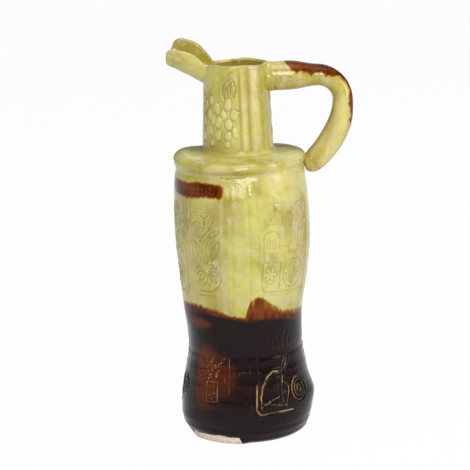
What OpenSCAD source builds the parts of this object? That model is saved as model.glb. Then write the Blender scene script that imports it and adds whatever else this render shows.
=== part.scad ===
// A slab-built pouring jug: every piece of clay that a potter would cut, roll or press is a part of its own.
// The origin is the middle of the foot, on the table. The handle points to +X and the spout to -X.

/* [Body] */
// Radius of the flat foot
foot_r = 44.5; // [40:0.5:48]
// Largest radius of the flare above the foot
flare_r = 54; // [50:0.5:60]
// Height of the widest place of the flare
flare_z = 27; // [20:1:36]
// Radius of the waist
waist_r = 46.5; // [42:0.5:49]
// Height of the waist
waist_z = 77; // [62:1:96]
// Largest radius of the belly
belly_r = 54.5; // [51:0.5:61]
// Height of the widest place of the belly
belly_z = 171; // [150:1:190]
// Radius of the wall at its top edge
wall_top_r = 51.5; // [48:0.5:55]
// Height of the wall's top edge
wall_top_z = 221.5; // [205:0.5:240]
// Thickness of the rolled wall slab
wall_t = 5; // [4:0.5:7]
// Thickness of the base slab
base_t = 6; // [4:0.5:9]

/* [Shoulder] */
// Radius of the shoulder slab over its rounded edge
shoulder_r = 53; // [51.5:0.5:58]
// Thickness of the shoulder slab at its edge
shoulder_t = 7; // [5:0.5:9]
// Rise of the shoulder from its edge to the seat of the neck
shoulder_rise = 3; // [1:0.5:6]

/* [Neck] */
// Outer radius of the neck at its foot
neck_foot_r = 28.5; // [25:0.5:33]
// Outer radius of the neck at the rim
rim_r = 25.5; // [23.5:0.5:31]
// Height of the neck
neck_h = 70.5; // [55:0.5:90]
// Thickness of the neck slab
neck_t = 4.5; // [3.5:0.5:6]

/* [Spout] */
// Inner radius of the trough
trough_r = 10.5; // [8:0.5:13]
// Thickness of the trough's slab
trough_t = 3.5; // [2.5:0.5:5]
// Depth of the trough's underside below the rim, at the neck
trough_drop = 15.5; // [13:0.5:22]
// Length of the trough along its underside
trough_len = 30.5; // [20:0.5:40]
// How far the lip's upper edge leans out past its underside
lip_lean = 5; // [0:0.5:9]
// Height of the near side at the lip, over the underside
near_side_h = 10.5; // [8:0.5:16]
// Height of the far side at the lip, over the underside
far_side_h = 21; // [14:0.5:26]
// Slope of the trough above the horizontal, in degrees
trough_slope = 28; // [10:1:35]
// Turn of the trough away from the line of the handle, in degrees
trough_turn = 5; // [0:1:20]

/* [Handle] */
// Distance of the handle's outermost place from the jug's axis, on its centre line
handle_reach = 84; // [76:0.5:100]
// Depth of the handle's upper root below the rim, on its centre line
handle_drop = 12; // [11:0.5:20]
// Radius of the upper bend, on its centre line
handle_bend_r = 20; // [14:0.5:26]
// Depth of the handle's lower end below the wall's top edge
handle_foot_drop = 2.5; // [-2:0.5:8]
// Stand-off of the handle's lower end from the shoulder's edge or the wall
handle_foot_gap = 6.5; // [3:0.5:8]
// Radius of the handle at its upper root
handle_root_r = 11; // [9:0.25:13]
// Radius of the handle at its thinnest place
handle_grip_r = 8.5; // [7:0.25:10]
// Radius of the handle at its lower end
handle_foot_r = 10.5; // [9:0.25:12]

/* [Joints] */
// Size of the coil in the corner between base and wall
base_coil_w = 6; // [4:0.5:9]
// Size of the coil in the corner between wall and shoulder
shoulder_coil_w = 6; // [4:0.5:9]
// Size of the coil round the foot of the neck
neck_coil_w = 3; // [2:0.25:5]
// Outer width of the strips in the two upright seams
seam_outer_w = 7; // [5:0.5:10]
// Inner width of the strips in the two upright seams
seam_inner_w = 2.5; // [1.5:0.25:4]
// Thickness of the clay pressed between neck and handle
upper_wad_t = 3.5; // [2.5:0.5:6]
// How far the pressed clay swells past the handle
wad_swell = 0.8; // [0.4:0.1:1.5]

/* [Stamps] */
// Width of a stamped panel on the body
panel_w = 24; // [18:1:26]
// Height of a panel of the upper row
upper_panel_h = 74; // [50:1:80]
// Height of a panel of the lower row
lower_panel_h = 42; // [28:1:46]
// Width of a stamped panel on the neck
neck_panel_w = 20; // [14:1:22]
// Height of a stamped panel on the neck
neck_panel_h = 44; // [30:1:46]
// Depth of what is pressed into the clay
stamp_depth = 0.9; // [0.5:0.1:1.5]
// Width of a pressed line
stamp_line_w = 1.6; // [1:0.1:2.2]
// Radius of a fruit on the neck
fruit_r = 2.8; // [2:0.1:3.2]
// How far a fruit stands out of the neck
fruit_rise = 0.7; // [0.4:0.1:1.2]

/* [Hidden] */
$fn = 96;

yellow_glaze = "#c9be6f";
brown_glaze = "#2c1b15";
bare_clay = "#dac7ab";

// How far a cut runs past the face that it opens
overrun = 1;
// Direction of both upright seams, at the back of the jug
seam_turn = 90;
// Height of the line between the two glazes, as a share of the wall's height
glaze_line_share = 0.44;
// How far the face of a coil is smoothed hollow: 0 is flat, 1 runs into the wall without an edge
coil_hollow_share = 0.6;

// Lower edge of the two stamped rows, as shares of the wall's height
upper_row_share = 0.54;
lower_row_share = 0.09;
// Lower edge of the neck's panels, as a share of the neck's height
neck_row_share = 0.12;
// Directions of the stamped panels round the jug, in degrees from the handle
sprig_turns = [-122, 18, 140];
window_turns = [-61, 172];
heart_turns = [-33, -160];
garden_turns = [-122, 18];
doorway_turns = [-61, 172];
vine_turns = [-108, 45, 131];
// How far the sides of a leaf bow out, as a share of its length
leaf_bow_share = 0.14;

wall_steps = 52;
foot_steps = 8;
arc_steps = 10;
leaf_steps = 4;
row_steps = 6;

shoulder_seat_z = wall_top_z + shoulder_t + shoulder_rise;
shoulder_edge_r = shoulder_t / 2;
rim_z = shoulder_seat_z + neck_h;
rim_edge_r = neck_t * 0.4;
neck_bore_r = neck_foot_r - neck_t;

// Eases from 0 to 1 with no slope at either end
function ease(t) = (1 - cos(180 * t)) / 2;

// Points of an arc about a centre, from one angle to another
function arc(centre, r, from, to) =
    [for (i = [0 : arc_steps]) let (a = from + (to - from) * i / arc_steps) centre + r * [cos(a), sin(a)]];

// Points that round the corner b between a and c
function rounded_corner(a, b, c, r) =
    let (
        u = (a - b) / norm(a - b),
        v = (c - b) / norm(c - b),
        half = acos(u * v) / 2,
        middle = (u + v) / norm(u + v),
        centre = b + middle * r / sin(half),
        start = b + u * r / tan(half) - centre,
        end = b + v * r / tan(half) - centre,
        from = atan2(start.y, start.x),
        sweep = (atan2(end.y, end.x) - from + 540) % 360 - 180
    )
    arc(centre, r, from, from + sweep);

// Outer radius of the body at a height: a tucked foot, a flare, a waist, a belly and a drawn-in top
function body_curve(z) =
    z < flare_z ? foot_r + (flare_r - foot_r) * sqrt(1 - pow(1 - z / flare_z, 2)) :
    z < waist_z ? flare_r + (waist_r - flare_r) * ease((z - flare_z) / (waist_z - flare_z)) :
    z < belly_z ? waist_r + (belly_r - waist_r) * ease((z - waist_z) / (belly_z - waist_z)) :
    wall_top_r + (belly_r - wall_top_r) * cos(90 * (z - belly_z) / (wall_top_z - belly_z));

wall_table = [
    for (i = [0 : wall_steps])
        let (z = base_t + (wall_top_z - base_t) * i / wall_steps)
        [z, body_curve(z)]
];

// Outer and inner radius of the wall slab at a height
function wall_r(z) = lookup(z, wall_table);
function wall_bore(z) = wall_r(z) - wall_t;

// Heights of the wall's rings from one level to another
function wall_heights(from, to) =
    concat([from], [for (p = wall_table) if (p[0] > from && p[0] < to) p[0]], [to]);

// Depth of a coil that is smoothed hollow, at a share of its width from the corner
function coil_depth(w, t) = w * (1 - t) * (1 - coil_hollow_share * t);

// Outer radius of the neck at a height
function neck_r(z) = neck_foot_r + (rim_r - neck_foot_r) * (z - shoulder_seat_z) / neck_h;

// The same points in the opposite order
function reversed(points) = [for (i = [len(points) - 1 : -1 : 0]) points[i]];

module wall_ring(from, to) {
    heights = wall_heights(from, to);
    outside = [for (z = heights) [wall_r(z), z]];
    inside = [for (z = reversed(heights)) [wall_bore(z), z]];
    rotate_extrude() polygon(concat(outside, inside));
}

module seam_wedge(bore_r, outer_r, from, to) {
    rotate(seam_turn) translate([0, 0, from]) linear_extrude(to - from) polygon([
        [bore_r - overrun, -seam_inner_w / 2],
        [outer_r + overrun, -seam_outer_w / 2],
        [outer_r + overrun, seam_outer_w / 2],
        [bore_r - overrun, seam_inner_w / 2]
    ]);
}

body_bore_r = min(foot_r, waist_r, wall_top_r) - wall_t;
body_outer_r = max(flare_r, belly_r, wall_top_r);

// Place on a panel, from shares of its width and height
function on_panel(size, share) = [(share.x - 1 / 2) * size.x, share.y * size.y];

module stroke(a, b) {
    run = b - a;
    translate(a) rotate(atan2(run.y, run.x)) translate([-stamp_line_w, -stamp_line_w] / 2)
        square([norm(run) + stamp_line_w, stamp_line_w]);
}

// A leaf with pointed ends, from its base to its tip
module leaf(base, tip) {
    run = tip - base;
    side = leaf_bow_share * [-run.y, run.x];
    along = [for (i = [0 : leaf_steps]) i / leaf_steps];
    left_edge = [for (t = along) base + run * t + side * 4 * t * (1 - t)];
    right_edge = [for (t = reversed(along)) if (t > 0 && t < 1) base + run * t - side * 4 * t * (1 - t)];
    polygon(concat(left_edge, right_edge));
}

// What is pressed in a panel: leaves and lines from one place to another, and rings with a place and a radius
module pressed(size, leaf_shares, line_shares, ring_shares) {
    for (p = leaf_shares) leaf(on_panel(size, [p[0], p[1]]), on_panel(size, [p[2], p[3]]));
    for (p = line_shares) stroke(on_panel(size, [p[0], p[1]]), on_panel(size, [p[2], p[3]]));
    for (p = ring_shares) translate(on_panel(size, [p[0], p[1]])) difference() {
        circle(size.x * p[2]);
        circle(size.x * p[2] - stamp_line_w);
    }
}

// A sprig over a fan of leaves, between a ground line and strokes
sprig_leaf_shares = [
    [0.42, 0.37, 0.05, 0.61], [0.5, 0.37, 0.6, 0.66], [0.62, 0.4, 0.88, 0.6], [0.2, 0.67, 0.62, 0.74],
    [0.38, 0.3, 0.02, 0.31], [0.4, 0.25, 0.16, 0.14], [0.48, 0.24, 0.48, 0.11], [0.56, 0.25, 0.82, 0.14]
];
sprig_line_shares = [
    [1, 0.03, 1, 1], [0.1, 0.02, 0.7, 0.02], [0.16, 0.93, 0.7, 0.93], [0.12, 0.83, 0.4, 0.83]
];
// A barred window over a round flower
window_line_shares = [
    [0, 0.14, 0, 0.44], [0.1, 0.06, 0.96, 0.06], [0.1, 0.5, 0.1, 0.8], [0.1, 0.5, 0.76, 0.5],
    [0.76, 0.5, 0.76, 0.8], [0.1, 0.8, 0.76, 0.8], [0.3, 0.58, 0.3, 0.72], [0.54, 0.58, 0.54, 0.72]
];
window_ring_shares = [[0.5, 0.27, 0.4], [0.5, 0.27, 0.17]];
// Three leaves that make a heart, under three rings
heart_leaf_shares = [[0.5, 0.12, 0.5, 0.42], [0.4, 0.14, 0.1, 0.34], [0.6, 0.14, 0.9, 0.34]];
heart_line_shares = [[0.04, 0.08, 0.86, 0.08], [1, 0.03, 1, 1], [0.1, 0.86, 0.86, 0.86]];
heart_ring_shares = [[0.18, 0.64, 0.14], [0.5, 0.64, 0.14], [0.82, 0.64, 0.14]];
// Leaves over a square tile
garden_leaf_shares = [[0.1, 0.64, 0.3, 0.9], [0.36, 0.6, 0.56, 0.86], [0.6, 0.54, 0.8, 0.8]];
garden_line_shares = [
    [0.2, 0.06, 0.6, 0.06], [0.2, 0.06, 0.2, 0.42], [0.6, 0.06, 0.6, 0.42], [0.2, 0.42, 0.6, 0.42],
    [1, 0.1, 1, 0.98]
];
// A round doorway in a frame, beside a reed
doorway_leaf_shares = [[0.86, 0.66, 0.96, 1]];
doorway_line_shares = [
    [0, 0.04, 0, 0.9], [0, 0.04, 1, 0.12], [0.2, 0.2, 0.8, 0.24], [0.92, 0.22, 0.86, 0.6]
];
doorway_ring_shares = [[0.5, 0.56, 0.34]];
// A vine leaf over a bunch of fruit, beside an upright border
vine_leaf_shares = [[0.5, 0.8, 0.5, 1], [0.34, 0.8, 0.2, 0.98], [0.66, 0.8, 0.8, 0.98]];
vine_line_shares = [[1, 0.02, 1, 1]];
fruit_shares = [
    [0.2, 0.64], [0.56, 0.68], [0.36, 0.47], [0.76, 0.47], [0.12, 0.38],
    [0.3, 0.26], [0.6, 0.28], [0.46, 0.08], [0.8, 0.14]
];

// Stands children up at a distance from the axis, facing out
module facing_out(turn, from_r, to_r, z) {
    rotate([0, 0, turn]) translate([from_r, 0, z]) rotate([90, 0, 90])
        linear_extrude(to_r - from_r) children();
}

// The skin of the wall along a row of panels, as deep as a stamp
module wall_skin(from, to) {
    heights = [for (i = [0 : row_steps]) from + (to - from) * i / row_steps];
    inside = [for (z = heights) [wall_r(z) - stamp_depth, z]];
    outside = [for (z = reversed(heights)) [wall_r(z) + overrun, z]];
    rotate_extrude() polygon(concat(inside, outside));
}

upper_row_z = base_t + (wall_top_z - base_t) * upper_row_share;
lower_row_z = base_t + (wall_top_z - base_t) * lower_row_share;
neck_row_z = shoulder_seat_z + neck_h * neck_row_share;

module upper_stamps() {
    size = [panel_w, upper_panel_h];
    from_r = wall_bore(upper_row_z);
    to_r = body_outer_r + overrun;
    intersection() {
        wall_skin(upper_row_z - stamp_line_w, upper_row_z + upper_panel_h + stamp_line_w);
        union() {
            for (turn = sprig_turns) facing_out(turn, from_r, to_r, upper_row_z)
                pressed(size, sprig_leaf_shares, sprig_line_shares, []);
            for (turn = window_turns) facing_out(turn, from_r, to_r, upper_row_z)
                pressed(size, [], window_line_shares, window_ring_shares);
            for (turn = heart_turns) facing_out(turn, from_r, to_r, upper_row_z)
                pressed(size, heart_leaf_shares, heart_line_shares, heart_ring_shares);
        }
    }
}

module lower_stamps() {
    size = [panel_w, lower_panel_h];
    from_r = wall_bore(lower_row_z + lower_panel_h);
    to_r = body_outer_r + overrun;
    intersection() {
        wall_skin(lower_row_z - stamp_line_w, lower_row_z + lower_panel_h + stamp_line_w);
        union() {
            for (turn = garden_turns) facing_out(turn, from_r, to_r, lower_row_z)
                pressed(size, garden_leaf_shares, garden_line_shares, []);
            for (turn = doorway_turns) facing_out(turn, from_r, to_r, lower_row_z)
                pressed(size, doorway_leaf_shares, doorway_line_shares, doorway_ring_shares);
        }
    }
}

module body_seam_wedge() {
    seam_wedge(body_bore_r, body_outer_r, base_t - overrun, wall_top_z + overrun);
}

module base_slab() {
    edge = [for (i = [0 : foot_steps]) let (z = base_t * i / foot_steps) [body_curve(z), z]];
    color(bare_clay) rotate_extrude() polygon(concat([[0, 0]], edge, [[0, base_t]]));
}

// A coil in the corner between the wall and a slab, on the slab's upper or under side
module corner_coil(w, corner_z, side) {
    end_z = corner_z + side * w;
    hollow_face = [
        for (i = [0 : arc_steps - 1])
            let (t = i / arc_steps, z = corner_z + side * w * t)
            [wall_bore(z) - coil_depth(w, t), z]
    ];
    upward = [for (z = wall_heights(min(corner_z, end_z), max(corner_z, end_z))) [wall_bore(z), z]];
    rotate_extrude() polygon(concat(hollow_face, side > 0 ? reversed(upward) : upward));
}

module base_coil() {
    color(brown_glaze) corner_coil(base_coil_w, base_t, 1);
}

module body_wall() {
    glaze_z = base_t + (wall_top_z - base_t) * glaze_line_share;
    difference() {
        union() {
            color(brown_glaze) wall_ring(base_t, glaze_z);
            color(yellow_glaze) wall_ring(glaze_z, wall_top_z);
        }
        body_seam_wedge();
        upper_stamps();
        lower_stamps();
    }
}

module body_seam_strip() {
    color(brown_glaze) intersection() {
        wall_ring(base_t, wall_top_z);
        body_seam_wedge();
    }
}

module shoulder_coil() {
    color(yellow_glaze) corner_coil(shoulder_coil_w, wall_top_z, -1);
}

module shoulder_disc(bore_r) {
    edge_centre = [shoulder_r - shoulder_edge_r, wall_top_z + shoulder_edge_r];
    seat_r = neck_foot_r + neck_coil_w;
    rotate_extrude() polygon(concat(
        [[bore_r, wall_top_z]],
        arc(edge_centre, shoulder_edge_r, -90, 90),
        [[seat_r, shoulder_seat_z], [bore_r, shoulder_seat_z]]
    ));
}

module shoulder_slab() {
    color(yellow_glaze) shoulder_disc(neck_bore_r);
}

module neck_tube() {
    edge_z = rim_z - rim_edge_r;
    outer_edge = arc([rim_r - rim_edge_r, edge_z], rim_edge_r, 0, 90);
    inner_edge = arc([rim_r - neck_t + rim_edge_r, edge_z], rim_edge_r, 90, 180);
    rotate_extrude() polygon(concat(
        [[neck_bore_r, shoulder_seat_z], [neck_foot_r, shoulder_seat_z]],
        outer_edge,
        inner_edge
    ));
}

// A filled cone, inset from the neck's outer face, that runs past the rim and down past the shoulder
module neck_core(inset) {
    from = shoulder_seat_z - overrun;
    to = rim_z + trough_drop;
    rotate_extrude() polygon([[0, from], [neck_r(from) - inset, from], [neck_r(to) - inset, to], [0, to]]);
}

module neck_seam_wedge() {
    seam_wedge(rim_r - neck_t, neck_foot_r, shoulder_seat_z - overrun, rim_z + overrun);
}

// The trough in its own frame: X runs out along it, Y to its near side, Z up across it
trough_outer_r = trough_r + trough_t;
trough_inset = neck_t * 2;
trough_low_z = rim_z - trough_drop;
trough_axis_r = neck_r(trough_low_z) - trough_outer_r * sin(trough_slope);
trough_axis_z = trough_low_z + trough_outer_r * cos(trough_slope);
trough_level_run = trough_t;
lip_corner_r = trough_t * 1.5;

// Height in the trough's frame at which it is level with the rim
function rim_level(x) = (rim_z - trough_axis_z) / cos(trough_slope) - x * tan(trough_slope);

module trough_frame() {
    rotate([0, 0, 180 - trough_turn]) translate([trough_axis_r, 0, trough_axis_z])
        rotate([0, -trough_slope, 0]) children();
}

// A bar with a round underside and straight sides, along the trough
module trough_bar(r, from, to, top) {
    translate([from, 0, 0]) rotate([90, 0, 90]) linear_extrude(to - from) {
        circle(r);
        translate([-r, 0]) square([2 * r, top]);
    }
}

// What one side of the trough keeps, seen from the side
module trough_side(side_h) {
    low = [trough_len, -trough_outer_r - overrun];
    lip = [trough_len + lip_lean, side_h - trough_outer_r];
    root = [trough_level_run, rim_level(trough_level_run)];
    inner_end = [-trough_inset, rim_level(-trough_inset)];
    rotate([90, 0, 0]) linear_extrude(trough_outer_r + overrun) polygon(concat(
        [[-trough_inset, low.y], low],
        rounded_corner(low, lip, root, lip_corner_r),
        [root, inner_end]
    ));
}

module spout() {
    top = far_side_h + trough_outer_r;
    out = trough_len + lip_lean + overrun;
    color(yellow_glaze) difference() {
        trough_frame() intersection() {
            difference() {
                trough_bar(trough_outer_r, -trough_inset, out, top);
                trough_bar(trough_r, -trough_inset - overrun, out + overrun, top + overrun);
            }
            union() {
                trough_side(far_side_h);
                mirror([0, 1, 0]) trough_side(near_side_h);
            }
        }
        neck_core(neck_t);
    }
}

// The neck's skin along its panels, from a depth to a rise
module neck_skin(depth, rise) {
    from = neck_row_z - fruit_r;
    to = neck_row_z + neck_panel_h + fruit_r;
    rotate_extrude() polygon([
        [neck_r(from) - depth, from],
        [neck_r(from) + rise, from],
        [neck_r(to) + rise, to],
        [neck_r(to) - depth, to]
    ]);
}

// What a vine panel holds, through the neck's wall, in every direction that has one
module vine_panels() {
    for (turn = vine_turns)
        facing_out(turn, neck_bore_r - neck_t, neck_foot_r + overrun, neck_row_z) children();
}

module vine_fruit() {
    size = [neck_panel_w, neck_panel_h];
    intersection() {
        neck_skin(neck_t / 2, fruit_rise);
        vine_panels() for (share = fruit_shares) translate(on_panel(size, share)) circle(fruit_r);
    }
}

module vine_stamps() {
    intersection() {
        neck_skin(stamp_depth, overrun);
        vine_panels() pressed([neck_panel_w, neck_panel_h], vine_leaf_shares, vine_line_shares, []);
    }
}

module neck_wall() {
    color(yellow_glaze) difference() {
        union() {
            neck_tube();
            vine_fruit();
        }
        neck_seam_wedge();
        trough_frame() trough_bar(trough_outer_r, -trough_inset, trough_len, trough_drop);
        vine_stamps();
    }
}

module neck_seam_strip() {
    color(yellow_glaze) intersection() {
        neck_tube();
        neck_seam_wedge();
    }
}

module neck_coil() {
    top_z = shoulder_seat_z + neck_coil_w;
    corner = [neck_foot_r + neck_coil_w, top_z];
    color(yellow_glaze) rotate_extrude() polygon(concat(
        [[neck_foot_r, shoulder_seat_z]],
        reversed(arc(corner, neck_coil_w, 180, 270)),
        [[neck_r(top_z), top_z]]
    ));
}

// The handle's centre line: straight out from the neck, round the upper bend, and back in one long arc
handle_root_z = rim_z - handle_drop;
handle_root_x = neck_r(handle_root_z) + upper_wad_t;
handle_run = handle_reach - handle_bend_r - handle_root_x;
handle_bend_z = handle_root_z - handle_bend_r;
handle_foot_z = wall_top_z - handle_foot_drop;
handle_foot_x = max(shoulder_r, wall_r(handle_foot_z - handle_foot_r)) + handle_foot_gap;
handle_fall = handle_bend_z - handle_foot_z;
handle_foot_turn = 2 * atan2(handle_reach - handle_foot_x, handle_fall);
handle_arc_r = handle_fall / sin(handle_foot_turn);
bend_length = handle_bend_r * PI / 2;
arc_length = handle_arc_r * handle_foot_turn * PI / 180;
handle_length = handle_run + bend_length + arc_length;

// Where the handle stops narrowing, where it starts to thicken and where it is full, along its length
handle_root_share = 0.1;
handle_grip_shares = [0.28, 0.45];
handle_foot_share = 0.85;
handle_rings = 44;
handle_sides = 24;

// Place on the centre line and the downward turn of its direction, at a distance from the root
function handle_place(s) =
    s < handle_run ?
        [handle_root_x + s, handle_root_z, 0] :
    s < handle_run + bend_length ?
        let (a = 90 * (s - handle_run) / bend_length)
        [handle_reach - handle_bend_r + handle_bend_r * sin(a), handle_bend_z + handle_bend_r * cos(a), a] :
        let (a = handle_foot_turn * (s - handle_run - bend_length) / arc_length)
        [handle_reach - handle_arc_r + handle_arc_r * cos(a), handle_bend_z - handle_arc_r * sin(a), 90 + a];

// Radius of the handle at a share of its length
function handle_r(share) =
    share < handle_grip_shares[0] ?
        handle_root_r + (handle_grip_r - handle_root_r)
            * ease(max(0, (share - handle_root_share) / (handle_grip_shares[0] - handle_root_share))) :
        handle_grip_r + (handle_foot_r - handle_grip_r)
            * ease(min(1, max(0, (share - handle_grip_shares[1])
                / (handle_foot_share - handle_grip_shares[1]))));

function handle_ring(share) =
    let (
        place = handle_place(share * handle_length),
        r = handle_r(share)
    )
    [
        for (i = [0 : handle_sides - 1])
            let (a = 360 * i / handle_sides, across = r * cos(a))
            [place[0] + across * sin(place[2]), r * sin(a), place[1] + across * cos(place[2])]
    ];

module handle() {
    points = [for (k = [0 : handle_rings]) each handle_ring(k / handle_rings)];
    last = handle_rings * handle_sides;
    sides = [
        for (k = [0 : handle_rings - 1], i = [0 : handle_sides - 1])
            let (
                j = (i + 1) % handle_sides,
                a = k * handle_sides + i,
                b = k * handle_sides + j,
                c = b + handle_sides,
                d = a + handle_sides
            )
            each [[a, b, c], [a, c, d]]
    ];
    root_cap = [for (i = [handle_sides - 1 : -1 : 0]) i];
    foot_cap = [for (i = [0 : handle_sides - 1]) last + i];
    color(yellow_glaze) polyhedron(points, concat(sides, [root_cap, foot_cap]));
}

module handle_upper_wad() {
    from = neck_r(handle_root_z) - neck_t - upper_wad_t;
    edge = arc([handle_root_r, handle_root_x - wad_swell], wad_swell, 0, 90);
    color(yellow_glaze) difference() {
        translate([0, 0, handle_root_z]) rotate([0, 90, 0]) rotate_extrude()
            polygon(concat([[0, from], [handle_root_r + wad_swell, from]], edge, [[0, handle_root_x]]));
        neck_core(0);
    }
}

// The body and shoulder without their hollows, for the lump that is pressed onto them
module body_core() {
    outside = [for (p = wall_table) [p[1], p[0]]];
    rotate_extrude() polygon(concat([[0, base_t]], outside, [[0, wall_top_z]]));
    shoulder_disc(0);
}

module handle_lower_wad() {
    dome = arc([0, 0], handle_foot_r + wad_swell, 0, 90);
    color(yellow_glaze) difference() {
        translate([handle_foot_x, 0, handle_foot_z]) rotate([0, 180 + handle_foot_turn, 0])
            rotate_extrude() polygon(concat([[0, 0]], dome));
        body_core();
    }
}

base_slab();
base_coil();
body_wall();
body_seam_strip();
shoulder_slab();
shoulder_coil();
neck_wall();
neck_seam_strip();
neck_coil();
spout();
handle();
handle_upper_wad();
handle_lower_wad();
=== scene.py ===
# %% [markdown]
# # A slab-built pouring jug
# The jug is stoneware: rolled slabs and coils, luted together, stamped while soft and dipped in two
# glazes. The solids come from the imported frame. This lesson dresses them: each piece of clay gets a
# surface worked out with numpy, with the unevenness of handwork, and a glaze built from shader nodes.

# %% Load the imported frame
import math

import bpy
import numpy as np
from mathutils import Matrix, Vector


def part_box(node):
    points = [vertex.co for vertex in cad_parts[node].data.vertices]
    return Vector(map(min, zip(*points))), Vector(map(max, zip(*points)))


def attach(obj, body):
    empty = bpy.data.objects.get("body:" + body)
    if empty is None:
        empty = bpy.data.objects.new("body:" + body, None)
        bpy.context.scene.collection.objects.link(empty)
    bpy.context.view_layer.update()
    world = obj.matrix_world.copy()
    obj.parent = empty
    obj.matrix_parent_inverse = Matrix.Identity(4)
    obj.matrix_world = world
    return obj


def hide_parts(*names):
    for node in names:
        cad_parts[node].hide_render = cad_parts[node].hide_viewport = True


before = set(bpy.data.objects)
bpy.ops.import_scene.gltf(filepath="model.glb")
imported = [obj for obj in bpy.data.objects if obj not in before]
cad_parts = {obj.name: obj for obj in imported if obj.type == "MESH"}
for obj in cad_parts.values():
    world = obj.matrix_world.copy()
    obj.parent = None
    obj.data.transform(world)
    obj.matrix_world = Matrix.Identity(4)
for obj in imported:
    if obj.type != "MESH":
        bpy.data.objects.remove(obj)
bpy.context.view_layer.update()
MM = 0.001
print("pieces of clay in the frame:", sorted(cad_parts))

# %% [markdown]
# ## The outline of the wall
# The wall's outer radius at each height is the largest distance of its corners from the axis. It could be
# written down again as a formula, but reading it from the frame keeps both models alike. The rings of the
# solid are a few millimetres apart, so the outline is smoothed a little to let reflections run without
# bands.

# %% Read the wall's outline
def node_points(node):
    """All corners of a node of the frame, one row of x, y, z each."""
    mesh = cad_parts[node].data
    flat = np.empty(3 * len(mesh.vertices), np.float32)
    mesh.vertices.foreach_get("co", flat)
    return flat.reshape(-1, 3).astype(float)


corners = np.concatenate([node_points("base_slab"), node_points("body_wall")])
levels, level_of = np.unique(np.round(corners[:, 2], 5), return_inverse=True)
reach = np.zeros(len(levels))
np.maximum.at(reach, level_of, np.hypot(corners[:, 0], corners[:, 1]))
outline_z = np.linspace(0, levels[-1], 900)
bell = np.exp(-0.5 * (np.arange(-20, 21) / 7) ** 2)
stretched = np.pad(np.interp(outline_z, levels, reach), 20, mode="reflect", reflect_type="odd")
outline_r = np.convolve(stretched, bell / bell.sum(), "valid")
BASE_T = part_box("base_slab")[1].z
WALL_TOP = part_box("body_wall")[1].z
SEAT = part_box("neck_wall")[0].z
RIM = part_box("neck_seam_strip")[1].z
WALL_T = 5 * MM
print(f"wall from {BASE_T:.4f} to {WALL_TOP:.4f} m, neck from {SEAT:.4f} to {RIM:.4f} m")

# %% [markdown]
# ## Unevenness of the hand
# A slab bent by hand is never quite round. A displacement with noise would do, but it would differ from
# piece to piece and open the joints. A few slow waves of the turn and the height are the same function
# for all pieces, so neighbours stay together.

# %% Waves and drift of the body
def sway(z):
    """Sideways drift of the axis: a soft hump to the right in the belly, one to the left at the waist."""
    h = z / MM
    return MM * (1.3 * np.exp(-(((h - 162) / 36) ** 2)) - 1.3 * np.exp(-(((h - 104) / 17) ** 2)))


def hump(value, centre, spread):
    """A bell of height 1 round a centre."""
    return np.exp(-(((value - centre) / spread) ** 2))


def ease(t):
    """From 0 to 1 with no slope at either end."""
    return (1 - np.cos(math.pi * np.clip(t, 0, 1))) / 2


def unevenness(turn, z):
    """Slow waves round and up the wall, two bulges near the foot and a pressed place under the shoulder in
    front."""
    h, a = z / MM, np.degrees(turn)
    waves = 0.35 * np.sin(2 * turn + h / 37 + 0.7) + 0.25 * np.sin(3 * turn - h / 29)
    waves = waves + 0.15 * np.sin(5 * turn + h / 17)
    bulge = 2.2 * hump(h, 33, 9) * hump(a, 82, 24) + 1.8 * hump(h, 12, 9) * hump(a, -70, 28)
    pressed = 3.2 * ease((h - 196) / 25) * hump(a, -4, 24)
    return MM * (waves * np.clip(h / 12, 0, 1) + bulge - pressed)


def wall_radius(turn, z):
    """Outer radius of the body: the outline plus the unevenness."""
    return np.interp(z, outline_z, outline_r) + unevenness(turn, z)


def round_axis(radius, turn, z):
    """Points round the axis. Turn 0 faces the front, and a quarter turn is the handle's side."""
    radius, turn, z = np.broadcast_arrays(radius, turn, z)
    return np.stack([radius * np.sin(turn) + sway(z), -radius * np.cos(turn), z], -1)


print(f"axis drifts from {sway(0.104) / MM:.1f} to {sway(0.162) / MM:.1f} mm")

# %% [markdown]
# ## From a grid of points to a mesh
# Every new piece is a grid: rows run along a path, columns round a profile. One helper joins neighbours
# into four-sided faces, closes the loops and stores numbers, such as the depth of a stamp, on the points,
# where the glazes read them later.

# %% Skin a grid
pieces = {}


def skin(name, node, grid, ring=False, **marks):
    """Joins each point of a grid with the next in its row and its column. Rows are closed loops. With ring
    the last row meets the first, and otherwise a face closes either end. Faces turn over if the volume is
    negative."""
    rows, cols = grid.shape[:2]
    corner = np.arange(rows * cols).reshape(rows, cols)
    caps = [] if ring else [corner[0].tolist(), corner[-1, ::-1].tolist()]
    corner = np.hstack([corner, corner[:, :1]])
    corner = np.vstack([corner, corner[:1]]) if ring else corner
    quads = np.stack([corner[:-1, :-1], corner[1:, :-1], corner[1:, 1:], corner[:-1, 1:]], -1)
    quads = quads.reshape(-1, 4)
    points = grid.reshape(-1, 3)
    a, b, c, d = (points[quads[:, k]] - points.mean(0) for k in range(4))
    volume = np.sum(a * (np.cross(b, c) + np.cross(c, d))) / 6
    faces = quads.tolist() + caps
    faces = [face[::-1] for face in faces] if volume < 0 else faces
    mesh = bpy.data.meshes.new(name)
    mesh.from_pydata(points.tolist(), [], faces)
    mesh.polygons.foreach_set("use_smooth", np.ones(len(faces), bool))
    for key, value in marks.items():
        layer = mesh.attributes.new(key, "FLOAT", "POINT")
        spread_out = np.broadcast_to(value, (rows, cols)).astype(np.float32)
        layer.data.foreach_set("value", spread_out.ravel())
    mesh.update()
    piece = bpy.data.objects.new(name, mesh)
    bpy.context.scene.collection.objects.link(piece)
    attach(piece, "root")
    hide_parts(node)
    pieces[node] = piece
    print(f"{name}: {2 * len(quads)} triangles, volume {abs(volume) * 1e6:.1f} cm3")


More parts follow.
